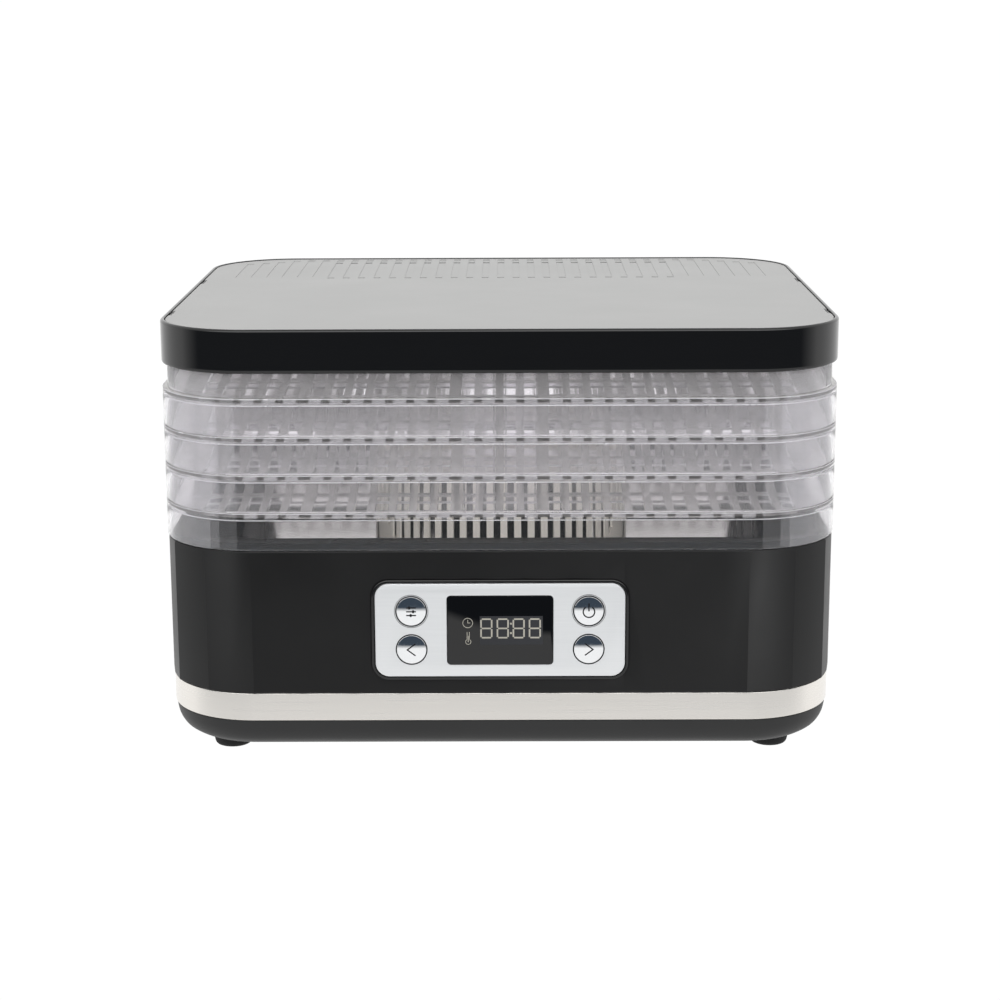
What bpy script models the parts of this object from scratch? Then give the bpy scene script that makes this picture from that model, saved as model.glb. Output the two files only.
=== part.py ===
"""Stackable food dehydrator: a heated base with a fan, four clear trays and a vented lid.

Frame: metres, +Z up, the front with the control panel faces -Y, and the origin is on the
surface the feet stand on, under the middle of the body.
"""
import math

import bmesh
import bpy
from mathutils import Matrix, Vector

MM = 0.001

# Driving dimensions of the whole body
WIDTH = 335 * MM
DEPTH = 285 * MM
HEIGHT = 219 * MM
CORNER_RADIUS = 46 * MM
CORNER_STEPS = 6
GAP = 0.3 * MM

# Heights of the stack, from the surface up
COVER_BOTTOM = 8.0 * MM
BAND_BOTTOM = 23.9 * MM
BAND_TOP = 37.8 * MM
BASE_TOP = 110.3 * MM
TRAY_PITCH = 18.8 * MM
TRAY_COUNT = 4
LID_BOTTOM = 197.7 * MM

# Walls, as distances in from the outline
SHELL_WALL = 2.8 * MM
SKIRT_WALL = 1.9 * MM
NECK_INSET = 2.6 * MM
NECK_WALL = 1.6 * MM
NECK_HEIGHT = 16.5 * MM
TRAY_FLOOR = 2.2 * MM

# Recess in the deck, with the slotted drum over the fan
RECESS_INSET = 37 * MM
RECESS_FLOOR = 91 * MM
DECK_TOP = 109.5 * MM
DRUM_RADIUS = 68.5 * MM
DRUM_WALL = 1.2 * MM
DRUM_TOP = 123.6 * MM
DRUM_SLOTS = 24
HEATER_LEVEL = 107 * MM

# Control panel on the front wall
PANEL_MIDDLE = 70.6 * MM
PANEL_WIDTH = 122.3 * MM
PANEL_HEIGHT = 47.1 * MM
PANEL_RADIUS = 6.8 * MM
BEZEL_WALL = 1.6 * MM
WINDOW_WIDTH = 52 * MM
WINDOW_HEIGHT = 35 * MM
WINDOW_RADIUS = 2 * MM
BUTTON_RADIUS = 7.2 * MM
BUTTON_X = 43.4 * MM
BUTTON_Z = 9.7 * MM
FRONT = -DEPTH / 2
PROUD = 1.5 * MM

# Cord gland in the rear wall
GLAND_X = 110 * MM
GLAND_Z = 55 * MM
GLAND_RADIUS = 7.6 * MM

COLOURS = {
    "black_plastic": ((0.018, 0.018, 0.019), 0.45, 0.0),
    "gloss_black": ((0.008, 0.008, 0.009), 0.12, 0.0),
    "lid_grey": ((0.42, 0.42, 0.42), 0.35, 0.6),
    "clear_tray": ((0.80, 0.80, 0.84), 0.10, 0.0),
    "steel": ((0.62, 0.61, 0.59), 0.25, 1.0),
    "silver": ((0.75, 0.76, 0.77), 0.30, 0.9),
    "chrome": ((0.80, 0.80, 0.80), 0.08, 1.0),
    "rubber": ((0.02, 0.02, 0.02), 0.80, 0.0),
    "board_green": ((0.02, 0.14, 0.06), 0.50, 0.0),
    "ceramic": ((0.75, 0.72, 0.66), 0.60, 0.0),
    "dark_metal": ((0.20, 0.19, 0.18), 0.40, 1.0),
}


def clear_scene():
    for item in list(bpy.data.objects):
        bpy.data.objects.remove(item, do_unlink=True)


def material(slot):
    found = bpy.data.materials.get(slot)
    if found:
        return found
    made = bpy.data.materials.new(slot)
    made.use_nodes = True
    colour, roughness, metallic = COLOURS[slot]
    shader = made.node_tree.nodes["Principled BSDF"]
    shader.inputs["Base Color"].default_value = (*colour, 1.0)
    shader.inputs["Roughness"].default_value = roughness
    shader.inputs["Metallic"].default_value = metallic
    return made


def add_object(name, mesh, slot, place=(0, 0, 0), parent=None):
    item = bpy.data.objects.new(name, mesh)
    bpy.context.scene.collection.objects.link(item)
    if not mesh.materials:
        mesh.materials.append(material(slot))
    item.location = place
    item.parent = parent
    return item


def add_empty(name, place, parent=None):
    item = bpy.data.objects.new(name, None)
    bpy.context.scene.collection.objects.link(item)
    item.location = place
    item.parent = parent
    return item


def finish_mesh(name, shape, smooth_angle=35):
    bmesh.ops.recalc_face_normals(shape, faces=shape.faces)
    mesh = bpy.data.meshes.new(name)
    shape.to_mesh(mesh)
    shape.free()
    mesh.shade_smooth()
    mesh.set_sharp_from_angle(angle=math.radians(smooth_angle))
    return mesh


def rounded_outline(width, depth, radius, steps=CORNER_STEPS):
    """Points of a rounded rectangle in the XY plane, anticlockwise."""
    points = []
    for corner, (side_x, side_y) in enumerate([(1, 1), (-1, 1), (-1, -1), (1, -1)]):
        middle = Vector((side_x * (width / 2 - radius), side_y * (depth / 2 - radius)))
        for step in range(steps + 1):
            turn = math.radians(90) * (corner + step / steps)
            points.append(middle + radius * Vector((math.cos(turn), math.sin(turn))))
    return points


def body_outline(inset):
    """The body's outline, drawn in by inset on every side."""
    return rounded_outline(WIDTH - 2 * inset, DEPTH - 2 * inset, CORNER_RADIUS - inset)


def circle_outline(radius, steps):
    turns = [2 * math.pi * step / steps for step in range(steps)]
    return [Vector((radius * math.cos(turn), radius * math.sin(turn))) for turn in turns]


def loft(name, levels, closed=False):
    """Mesh through levels of (outline, z); capped at both ends, or closed into a ring."""
    shape = bmesh.new()
    rings = [[shape.verts.new((point.x, point.y, z)) for point in outline] for outline, z in levels]
    count = len(rings[0])
    pairs = list(zip(rings, rings[1:]))
    if closed:
        pairs.append((rings[-1], rings[0]))
    for low, high in pairs:
        for index in range(count):
            after = (index + 1) % count
            shape.faces.new((low[index], low[after], high[after], high[index]))
    if not closed:
        shape.faces.new(list(reversed(rings[0])))
        shape.faces.new(rings[-1])
    return finish_mesh(name, shape)


def body_loft(name, profile, closed=False):
    """Loft of the body's outline through profile points of (inset, z)."""
    return loft(name, [(body_outline(inset), z) for inset, z in profile], closed)


def turned(name, profile, steps=24):
    """Solid turned about Z through profile points of (radius, z), bottom to top."""
    return loft(name, [(circle_outline(radius, steps), z) for radius, z in profile])


def block(name, size):
    """A box of size (x, y, z) that stands on its own origin."""
    outline = [Vector((side_x * size[0] / 2, side_y * size[1] / 2))
               for side_x, side_y in [(-1, -1), (1, -1), (1, 1), (-1, 1)]]
    return loft(name, [(outline, 0), (outline, size[2])])


def facing_front(mesh):
    """Turn a mesh that stands on the XY plane so that its top faces the front, -Y."""
    mesh.transform(Matrix.Rotation(math.radians(90), 4, "X"))
    return mesh


def cut(item, cutter_mesh, place=(0, 0, 0)):
    """Cut a hidden mesh out of an object with a Boolean modifier."""
    cutter = bpy.data.objects.new(item.name + "_cutter", cutter_mesh)
    bpy.context.scene.collection.objects.link(cutter)
    cutter.location = place
    cutter.hide_render = True
    cutter.display_type = "WIRE"
    modifier = item.modifiers.new("cut", "BOOLEAN")
    modifier.operation = "DIFFERENCE"
    modifier.solver = "EXACT"
    modifier.object = cutter


def joined_boxes(name, boxes):
    """One mesh of separate boxes, each given as (middle x, middle y, size x, size y, low z, high z)."""
    shape = bmesh.new()
    for middle_x, middle_y, size_x, size_y, low_z, high_z in boxes:
        scale = Matrix.Diagonal((size_x, size_y, high_z - low_z, 1))
        shift = Matrix.Translation((middle_x, middle_y, (low_z + high_z) / 2))
        bmesh.ops.create_cube(shape, size=1, matrix=shift @ scale)
    return finish_mesh(name, shape)


# ---- casing ---------------------------------------------------------------------------------

def make_casing(base):
    shell_profile = [
        (0, BAND_TOP + GAP),
        (0, BASE_TOP),
        (SHELL_WALL, BASE_TOP),
        (SHELL_WALL, BASE_TOP - 3.1 * MM),
        (SHELL_WALL + 1.7 * MM, BASE_TOP - 3.1 * MM),
        (SHELL_WALL + 1.7 * MM, BASE_TOP - 4.6 * MM),
        (SHELL_WALL, BASE_TOP - 6.4 * MM),
        (SHELL_WALL, BAND_TOP + GAP),
    ]
    shell = add_object("base_shell", body_loft("base_shell", shell_profile, closed=True),
                       "black_plastic", parent=base)
    margin = 2 * (BEZEL_WALL + 2 * GAP)
    aperture = rounded_outline(PANEL_WIDTH + margin, PANEL_HEIGHT + margin,
                               PANEL_RADIUS + margin / 2, 4)
    aperture_mesh = facing_front(loft("aperture", [(aperture, 0), (aperture, 30 * MM)]))
    cut(shell, aperture_mesh, (0, FRONT + 15 * MM, PANEL_MIDDLE))
    hole_radius = GLAND_RADIUS + 0.4 * MM
    gland_hole = facing_front(turned("gland_hole", [(hole_radius, 0), (hole_radius, 30 * MM)], 16))
    cut(shell, gland_hole, (GLAND_X, -FRONT + 15 * MM, GLAND_Z))

    band_profile = [(1.0 * MM, BAND_BOTTOM), (1.0 * MM, BAND_TOP),
                    (2.0 * MM, BAND_TOP), (2.0 * MM, BAND_BOTTOM)]
    add_object("trim_band", body_loft("trim_band", band_profile, closed=True), "steel", parent=base)

    cover_profile = [
        (16 * MM, COVER_BOTTOM),
        (10 * MM, COVER_BOTTOM + 1.4 * MM),
        (5 * MM, COVER_BOTTOM + 5 * MM),
        (2.4 * MM, COVER_BOTTOM + 9.5 * MM),
        (1.6 * MM, BAND_BOTTOM - GAP),
        (2.0 * MM + GAP, BAND_BOTTOM - GAP),
        (2.0 * MM + GAP, BAND_TOP - GAP),
        (4.2 * MM, BAND_TOP - GAP),
        (4.2 * MM, BAND_BOTTOM - GAP),
        (7 * MM, COVER_BOTTOM + 6 * MM),
        (17 * MM, COVER_BOTTOM + 2.5 * MM),
    ]
    cover = add_object("bottom_cover", body_loft("bottom_cover", cover_profile),
                       "black_plastic", parent=base)
    intake = [(0, 13 * MM * row, 74 * MM, 4 * MM, 0, 20 * MM) for row in range(-3, 4)]
    cut(cover, joined_boxes("intake", intake))

    gland = turned("cord_gland", [(GLAND_RADIUS, -5 * MM), (GLAND_RADIUS, GAP),
                                  (10 * MM, GAP), (10 * MM, PROUD)], 16)
    gland.transform(Matrix.Rotation(math.radians(-90), 4, "X"))
    add_object("cord_gland", gland, "rubber", (GLAND_X, -FRONT, GLAND_Z), base)


def make_feet_and_screws(base):
    foot = turned("foot", [(8.2 * MM, 0), (9.2 * MM, 1.2 * MM),
                           (10.5 * MM, COVER_BOTTOM - GAP)], 20)
    screw = turned("case_screw", [(2.4 * MM, 0), (3.4 * MM, 0.7 * MM), (3.6 * MM, 1.8 * MM)], 10)
    for side_y, row in ((-1, "front"), (1, "rear")):
        for side_x, column in ((-1, "left"), (1, "right")):
            foot_place = (side_x * 137 * MM, side_y * 104 * MM, 0)
            add_object(f"foot_{row}_{column}", foot, "rubber", foot_place, base)
            screw_place = (side_x * 108 * MM, side_y * 100 * MM, COVER_BOTTOM - GAP - 1.8 * MM)
            add_object(f"case_screw_{row}_{column}", screw, "dark_metal", screw_place, base)


# ---- deck, heater and fan -------------------------------------------------------------------

def make_deck(base):
    outer = SHELL_WALL + GAP
    deck_profile = [
        (outer, BASE_TOP - 3.1 * MM + GAP),
        (outer, BASE_TOP + 3.5 * MM),
        (outer + 1.6 * MM, BASE_TOP + 3.5 * MM),
        (outer + 1.6 * MM, DECK_TOP),
        (RECESS_INSET, DECK_TOP),
        (RECESS_INSET, RECESS_FLOOR + GAP),
        (RECESS_INSET - 2 * MM, RECESS_FLOOR + GAP),
        (RECESS_INSET - 2 * MM, BASE_TOP - 3.1 * MM + GAP),
    ]
    add_object("top_deck", body_loft("top_deck", deck_profile, closed=True),
               "gloss_black", parent=base)

    plate = body_loft("reflector_plate", [(RECESS_INSET - 3 * MM, RECESS_FLOOR - 1.2 * MM),
                                          (RECESS_INSET - 3 * MM, RECESS_FLOOR)])
    plate = add_object("reflector_plate", plate, "steel", parent=base)
    cut(plate, turned("fan_hole", [(40 * MM, 0), (40 * MM, 120 * MM)], 32))


def drum_mesh():
    """An upturned cup whose wall has a slot in every second column."""
    shape = bmesh.new()
    columns = 2 * DRUM_SLOTS
    bottom = RECESS_FLOOR + GAP
    heights = [bottom, bottom + 4 * MM, DRUM_TOP - 4 * MM, DRUM_TOP]
    inner_heights = heights[:3] + [DRUM_TOP - DRUM_WALL]

    def wall(radius, levels):
        return [[shape.verts.new((point.x, point.y, z)) for point in circle_outline(radius, columns)]
                for z in levels]

    outer = wall(DRUM_RADIUS, heights)
    inner = wall(DRUM_RADIUS - DRUM_WALL, inner_heights)
    for column in range(columns):
        after = (column + 1) % columns
        slotted = column % 2 == 1
        for row in range(3):
            if row == 1 and slotted:
                continue
            for side in (outer, inner):
                shape.faces.new((side[row][column], side[row][after],
                                 side[row + 1][after], side[row + 1][column]))
        shape.faces.new((outer[0][column], outer[0][after], inner[0][after], inner[0][column]))
        if slotted:
            for row in (1, 2):
                shape.faces.new((outer[row][column], outer[row][after],
                                 inner[row][after], inner[row][column]))
            for edge in (column, after):
                shape.faces.new((outer[1][edge], outer[2][edge], inner[2][edge], inner[1][edge]))
    shape.faces.new(outer[3])
    shape.faces.new(inner[3])
    return finish_mesh("heater_guard", shape)


def impeller_mesh():
    """A hub with curved vanes, drawn as one star outline and raised along Z."""
    vanes = 9
    hub_radius, tip_radius, half_thickness = 13 * MM, 50 * MM, 0.8 * MM
    sweep = math.radians(24)
    outline = []
    for vane in range(vanes):
        turn = 2 * math.pi * vane / vanes
        fractions = (0, 0.5, 1)
        for side, order in ((-1, fractions), (1, reversed(fractions))):
            for fraction in order:
                radius = hub_radius + fraction * (tip_radius - hub_radius)
                angle = turn - sweep * fraction ** 1.5 + side * half_thickness / radius
                outline.append(Vector((radius * math.cos(angle), radius * math.sin(angle))))
    return loft("fan_impeller", [(outline, 0), (outline, 14 * MM)])


def make_heater_and_fan(base):
    add_object("heater_guard", drum_mesh(), "steel", parent=base)

    ring = bmesh.new()
    ring_radius, wire_radius, ring_steps, wire_steps = 59 * MM, 3.2 * MM, 28, 6
    loops = []
    for step in range(ring_steps):
        turn = Matrix.Rotation(2 * math.pi * step / ring_steps, 3, "Z")
        around = [2 * math.pi * index / wire_steps for index in range(wire_steps)]
        loops.append([ring.verts.new(turn @ Vector((ring_radius + wire_radius * math.cos(angle), 0,
                                                    wire_radius * math.sin(angle))))
                      for angle in around])
    for step in range(ring_steps):
        here, beyond = loops[step], loops[(step + 1) % ring_steps]
        for index in range(wire_steps):
            after = (index + 1) % wire_steps
            ring.faces.new((here[index], beyond[index], beyond[after], here[after]))
    add_object("heating_element", finish_mesh("heating_element", ring), "dark_metal",
               (0, 0, HEATER_LEVEL), base)

    support_top = HEATER_LEVEL - wire_radius - GAP
    support_bottom = RECESS_FLOOR + GAP
    support = block("heater_support", (8 * MM, 10 * MM, support_top - support_bottom))
    for side_x, column in ((-1, "left"), (1, "right")):
        place = (side_x * ring_radius, 0, support_bottom)
        add_object(f"heater_support_{column}", support, "ceramic", place, base)

    bracket_under = RECESS_FLOOR - 1.2 * MM - GAP
    sheet, rise, half_span = 1.6 * MM, 9 * MM, 62 * MM
    section = [(-half_span - 12 * MM, rise), (-half_span - 12 * MM, rise - sheet),
               (-half_span, rise - sheet), (-half_span, 0), (half_span, 0),
               (half_span, rise - sheet), (half_span + 12 * MM, rise - sheet),
               (half_span + 12 * MM, rise), (half_span - sheet, rise), (half_span - sheet, sheet),
               (-half_span + sheet, sheet), (-half_span + sheet, rise)]
    outline = [Vector(point) for point in section]
    bracket_mesh = facing_front(loft("motor_bracket", [(outline, -22 * MM), (outline, 22 * MM)]))
    bracket = add_object("motor_bracket", bracket_mesh, "steel",
                         (0, 0, bracket_under - rise), base)
    cut(bracket, turned("shaft_hole", [(6 * MM, 0), (6 * MM, 120 * MM)], 16))

    motor_top = bracket_under - rise - GAP
    motor = turned("fan_motor", [(21 * MM, -34 * MM), (23 * MM, -32 * MM),
                                 (23 * MM, -2 * MM), (21 * MM, 0)])
    add_object("fan_motor", motor, "dark_metal", (0, 0, motor_top), base)

    axle = add_empty("fan_axle", (0, 0, motor_top), base)
    impeller_bottom = RECESS_FLOOR + 4 * MM
    shaft = turned("motor_shaft", [(2.5 * MM, GAP), (2.5 * MM, impeller_bottom - GAP - motor_top)], 12)
    add_object("motor_shaft", shaft, "steel", parent=axle)
    add_object("fan_impeller", impeller_mesh(), "black_plastic",
               (0, 0, impeller_bottom - motor_top), axle)


def make_electronics(base):
    floor = COVER_BOTTOM + 2.5 * MM + GAP
    board_top = floor + 1.6 * MM + GAP
    board = block("power_board", (84 * MM, 62 * MM, 1.6 * MM))
    add_object("power_board", board, "board_green", (90 * MM, 50 * MM, floor), base)
    transformer = block("transformer", (26 * MM, 22 * MM, 20 * MM))
    add_object("transformer", transformer, "dark_metal", (72 * MM, 52 * MM, board_top), base)
    relay = block("relay", (19 * MM, 15 * MM, 15 * MM))
    add_object("relay", relay, "black_plastic", (108 * MM, 40 * MM, board_top), base)
    on_plate = RECESS_FLOOR + GAP
    cutoff = turned("thermal_cutoff", [(7 * MM, 0), (7 * MM, 3 * MM), (4 * MM, 3.5 * MM),
                                       (4 * MM, 8 * MM)], 14)
    add_object("thermal_cutoff", cutoff, "ceramic", (40 * MM, 78 * MM, on_plate), base)
    sensor = turned("temperature_sensor", [(2.2 * MM, 0), (2.2 * MM, 11 * MM), (1.2 * MM, 13 * MM)], 10)
    add_object("temperature_sensor", sensor, "steel", (-40 * MM, 78 * MM, on_plate), base)


# ---- control panel --------------------------------------------------------------------------

def panel_piece(name, outline, slot, front, back, base):
    """A plate of the given outline on the front wall, from its front face to its back face in y."""
    mesh = facing_front(loft(name, [(outline, -back), (outline, -front)]))
    return add_object(name, mesh, slot, (0, 0, PANEL_MIDDLE), base)


def button_places():
    return {"set_button": (-BUTTON_X, BUTTON_Z), "down_button": (-BUTTON_X, -BUTTON_Z),
            "power_button": (BUTTON_X, BUTTON_Z), "up_button": (BUTTON_X, -BUTTON_Z)}


def make_control_panel(base):
    wall = BEZEL_WALL + GAP
    bezel_back = FRONT + 8.5 * MM
    outer = rounded_outline(PANEL_WIDTH + 2 * wall, PANEL_HEIGHT + 2 * wall, PANEL_RADIUS + wall, 4)
    inner = rounded_outline(PANEL_WIDTH + 2 * GAP, PANEL_HEIGHT + 2 * GAP, PANEL_RADIUS + GAP, 4)
    bezel_front = FRONT - 0.8 * MM
    levels = [(outer, -bezel_back), (outer, -bezel_front), (inner, -bezel_front), (inner, -bezel_back)]
    bezel = facing_front(loft("panel_bezel", levels, closed=True))
    add_object("panel_bezel", bezel, "black_plastic", (0, 0, PANEL_MIDDLE), base)

    fascia_front = FRONT - 0.7 * MM
    fascia_outline = rounded_outline(PANEL_WIDTH, PANEL_HEIGHT, PANEL_RADIUS, 4)
    fascia = panel_piece("fascia_plate", fascia_outline, "silver", fascia_front,
                         FRONT + 1.3 * MM, base)
    window_hole = rounded_outline(WINDOW_WIDTH + 2 * GAP, WINDOW_HEIGHT + 2 * GAP,
                                  WINDOW_RADIUS + GAP, 3)
    hole_mesh = facing_front(loft("window_hole", [(window_hole, 0), (window_hole, 30 * MM)]))
    cut(fascia, hole_mesh, (0, FRONT + 15 * MM, PANEL_MIDDLE))
    for x, z in button_places().values():
        hole = facing_front(turned("button_hole", [(BUTTON_RADIUS + GAP, 0),
                                                   (BUTTON_RADIUS + GAP, 30 * MM)], 20))
        cut(fascia, hole, (x, FRONT + 15 * MM, PANEL_MIDDLE + z))

    window_outline = rounded_outline(WINDOW_WIDTH, WINDOW_HEIGHT, WINDOW_RADIUS, 3)
    panel_piece("display_window", window_outline, "gloss_black", FRONT - 0.9 * MM,
                FRONT + 1.0 * MM, base)

    board_front = bezel_back + GAP
    board_outline = rounded_outline(PANEL_WIDTH, PANEL_HEIGHT, 3 * MM, 2)
    panel_piece("control_board", board_outline, "board_green", board_front,
                board_front + 1.6 * MM, base)
    display_outline = rounded_outline(31 * MM, 14 * MM, 0.5 * MM, 1)
    panel_piece("display_module", display_outline, "black_plastic", FRONT + 1.3 * MM,
                board_front - GAP, base)

    button_back = FRONT + 2.2 * MM
    for name, (x, z) in button_places().items():
        pivot = add_empty(name + "_axis", (x, FRONT, PANEL_MIDDLE + z), base)
        profile = [(BUTTON_RADIUS, -button_back + FRONT), (BUTTON_RADIUS, PROUD - 0.4 * MM),
                   (BUTTON_RADIUS - 0.4 * MM, PROUD)]
        add_object(name, facing_front(turned(name, profile, 20)), "chrome", parent=pivot)
        switch_length = board_front - GAP - button_back - 1.1 * MM
        switch = facing_front(block(name.replace("button", "switch"), (6 * MM, 6 * MM, switch_length)))
        add_object(name.replace("button", "switch"), switch, "dark_metal",
                   (x, board_front - GAP, PANEL_MIDDLE + z), base)


# ---- trays and lid --------------------------------------------------------------------------

def tray_mesh():
    """A tray whose shoulder is at z = 0: the skirt hangs below it and the neck stands above it."""
    profile = [
        (SKIRT_WALL, -TRAY_FLOOR),
        (SKIRT_WALL, -TRAY_PITCH + GAP),
        (0, -TRAY_PITCH + GAP),
        (0, 0),
        (NECK_INSET, 0),
        (NECK_INSET, NECK_HEIGHT),
        (NECK_INSET + NECK_WALL, NECK_HEIGHT),
        (NECK_INSET + NECK_WALL, 0),
    ]
    return body_loft("tray", profile)


def tray_openings():
    """Cutters for the slots of a tray's floor, in columns across and rows front to back."""
    columns, rows = 9, 3
    pitch_x, pitch_y = 33 * MM, 82 * MM
    boxes = []
    for column in range(columns):
        for row in range(rows):
            middle_x = (column - (columns - 1) / 2) * pitch_x
            middle_y = (row - (rows - 1) / 2) * pitch_y
            boxes.append((middle_x, middle_y, pitch_x - 6 * MM, pitch_y - 6 * MM, -10 * MM, 10 * MM))
    return joined_boxes("tray_openings", boxes)


def make_trays(below):
    """Stack the trays, each one carried by the one below it."""
    mesh, openings = tray_mesh(), tray_openings()
    level = BASE_TOP
    for number in range(1, TRAY_COUNT + 1):
        level += TRAY_PITCH
        offset = level if number == 1 else TRAY_PITCH
        seat = add_empty(f"tray_{number}_seat", (0, 0, offset), below)
        tray = add_object(f"tray_{number}", mesh, "clear_tray", parent=seat)
        cut(tray, openings, (0, 0, level))
        below = seat
    return below


def make_lid(top_tray):
    rest_level = BASE_TOP + TRAY_COUNT * TRAY_PITCH
    seat = add_empty("lid_seat", (0, 0, -rest_level), top_tray)
    stop = rest_level + NECK_HEIGHT + GAP
    frame_profile = [
        (1.3 * MM, LID_BOTTOM),
        (0, LID_BOTTOM + 1.3 * MM),
        (0, HEIGHT - 0.8 * MM),
        (0.8 * MM, HEIGHT),
        (2.2 * MM, HEIGHT),
        (2.2 * MM, HEIGHT - 1.6 * MM),
        (10 * MM, HEIGHT - 1.6 * MM),
        (10 * MM, HEIGHT - 3.4 * MM),
        (5 * MM, HEIGHT - 4.4 * MM),
        (5 * MM, stop),
        (2.0 * MM, stop),
        (2.0 * MM, LID_BOTTOM),
    ]
    add_object("lid_frame", body_loft("lid_frame", frame_profile, closed=True),
               "gloss_black", parent=seat)
    panel_inset = 2.2 * MM + GAP
    panel_profile = [(panel_inset, HEIGHT - 1.6 * MM + GAP), (panel_inset, HEIGHT - 0.5 * MM)]
    panel = add_object("lid_panel", body_loft("lid_panel", panel_profile), "lid_grey", parent=seat)
    vents = []
    for row_y in (60 * MM, 116 * MM):
        for column in range(-6, 7):
            vents.append((column * 16.4 * MM, row_y, 4 * MM, 6 * MM, 0.2, 0.23))
    cut(panel, joined_boxes("lid_vents", vents))


def build():
    clear_scene()
    base = add_empty("base", (0, 0, 0))
    make_casing(base)
    make_feet_and_screws(base)
    make_deck(base)
    make_heater_and_fan(base)
    make_electronics(base)
    make_control_panel(base)
    make_lid(make_trays(base))


build()
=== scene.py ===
"""Looks of the food dehydrator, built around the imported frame: metres, +Z up, front facing -Y."""
import math

import bmesh
import bpy
from mathutils import Matrix, Vector


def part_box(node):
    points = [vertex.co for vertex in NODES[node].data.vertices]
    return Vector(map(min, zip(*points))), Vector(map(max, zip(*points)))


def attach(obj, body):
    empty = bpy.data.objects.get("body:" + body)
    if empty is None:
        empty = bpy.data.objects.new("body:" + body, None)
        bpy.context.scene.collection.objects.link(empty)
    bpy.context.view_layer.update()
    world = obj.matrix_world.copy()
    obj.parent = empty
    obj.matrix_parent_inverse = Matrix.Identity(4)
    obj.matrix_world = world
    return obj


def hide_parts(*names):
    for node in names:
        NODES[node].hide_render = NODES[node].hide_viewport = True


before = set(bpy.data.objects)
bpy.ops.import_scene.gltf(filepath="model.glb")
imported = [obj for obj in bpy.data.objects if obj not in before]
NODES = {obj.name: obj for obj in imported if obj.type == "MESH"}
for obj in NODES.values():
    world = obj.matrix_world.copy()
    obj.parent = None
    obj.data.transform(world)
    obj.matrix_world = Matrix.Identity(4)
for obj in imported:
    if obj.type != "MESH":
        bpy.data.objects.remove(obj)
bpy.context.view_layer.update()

MM = 0.001
LID_LOW, LID_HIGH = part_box("lid_frame")
WIDTH = LID_HIGH[0] - LID_LOW[0]
DEPTH = LID_HIGH[1] - LID_LOW[1]
TOP = LID_HIGH[2]
CORNER_RADIUS = 46 * MM
CORNER_STEPS = 24
FRONT = -DEPTH / 2
SHARP_ANGLE = 40
CUT_REACH = 40 * MM
GLAND_CLEARANCE = 7.9 * MM

BAND_LOW, BAND_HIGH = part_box("trim_band")
COVER_LOW, COVER_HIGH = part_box("bottom_cover")
SHELL_LOW, SHELL_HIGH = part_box("base_shell")
DECK_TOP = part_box("top_deck")[1][2]
PLATE_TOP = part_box("reflector_plate")[1][2]
DRUM_LOW, DRUM_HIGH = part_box("heater_guard")
TRAY_BOXES = [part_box(f"tray_{number}") for number in range(1, 5)]
TRAY_NECK = 16.5 * MM
SHOULDERS = [high[2] - TRAY_NECK for low, high in TRAY_BOXES]
SKIRT_HEIGHT = SHOULDERS[0] - TRAY_BOXES[0][0][2]
FASCIA_LOW, FASCIA_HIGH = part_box("fascia_plate")
PANEL_MIDDLE = (FASCIA_LOW[2] + FASCIA_HIGH[2]) / 2

# Material slots of a tray's faces.
TRAY_LOOKS = ("clear", "mist", "haze", "highlight_paint", "floor", "clear")
CLEAR, BEND, HAZE_AND_HIGHLIGHT, PAINTED_HIGHLIGHT, FLOOR, FRONT_WALL = range(6)
SLOT_WIDTH = 6.3 * MM
SLOT_LENGTH = 20.4 * MM
SLOT_ROW_PITCH = 24.6 * MM


# ---- shapes ---------------------------------------------------------------------------------

def rounded_outline(width, depth, radius, steps=CORNER_STEPS):
    """Points of a rounded rectangle in the XY plane, anticlockwise from the +X side."""
    points = []
    for corner, (side_x, side_y) in enumerate([(1, 1), (-1, 1), (-1, -1), (1, -1)]):
        middle = Vector((side_x * (width / 2 - radius), side_y * (depth / 2 - radius)))
        for step in range(steps + 1):
            turn = math.radians(90) * (corner + step / steps)
            points.append(middle + radius * Vector((math.cos(turn), math.sin(turn))))
    return points


def body_outline(inset):
    return rounded_outline(WIDTH - 2 * inset, DEPTH - 2 * inset, CORNER_RADIUS - inset)


def circle_outline(radius, steps=64):
    turns = [2 * math.pi * step / steps for step in range(steps)]
    return [Vector((radius * math.cos(turn), radius * math.sin(turn))) for turn in turns]


def softened(profile, radius, closed=True, steps=3):
    """The profile with each corner rounded by an arc of about the given radius."""
    points = [Vector(point) for point in profile]
    result = []
    for index, point in enumerate(points):
        if not closed and index in (0, len(points) - 1):
            result.append(point)
            continue
        before, after = points[index - 1], points[(index + 1) % len(points)]
        back, ahead = before - point, after - point
        reach = min(radius, 0.45 * back.length, 0.45 * ahead.length)
        start, end = point + back.normalized() * reach, point + ahead.normalized() * reach
        for step in range(steps + 1):
            share = step / steps
            result.append(start * (1 - share) ** 2 + point * 2 * share * (1 - share)
                          + end * share ** 2)
    return result


def loft(shape, levels, closed=False):
    """Faces through levels of (outline, z), capped at both ends or closed into a ring."""
    rings = [[shape.verts.new((point.x, point.y, z)) for point in outline]
             for outline, z in levels]
    count = len(rings[0])
    pairs = list(zip(rings, rings[1:]))
    if closed:
        pairs.append((rings[-1], rings[0]))
    for low, high in pairs:
        for index in range(count):
            after = (index + 1) % count
            shape.faces.new((low[index], low[after], high[after], high[index]))
    if not closed:
        shape.faces.new(list(reversed(rings[0])))
        shape.faces.new(rings[-1])


def body_levels(profile):
    return [(body_outline(point[0]), point[1]) for point in profile]


def turned_levels(profile, steps=64):
    return [(circle_outline(point[0], steps), point[1]) for point in profile]


def box(shape, low, high):
    size = Vector(high) - Vector(low)
    middle = (Vector(high) + Vector(low)) / 2
    matrix = Matrix.Translation(middle) @ Matrix.Diagonal((*size, 1))
    bmesh.ops.create_cube(shape, size=1, matrix=matrix)


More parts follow.
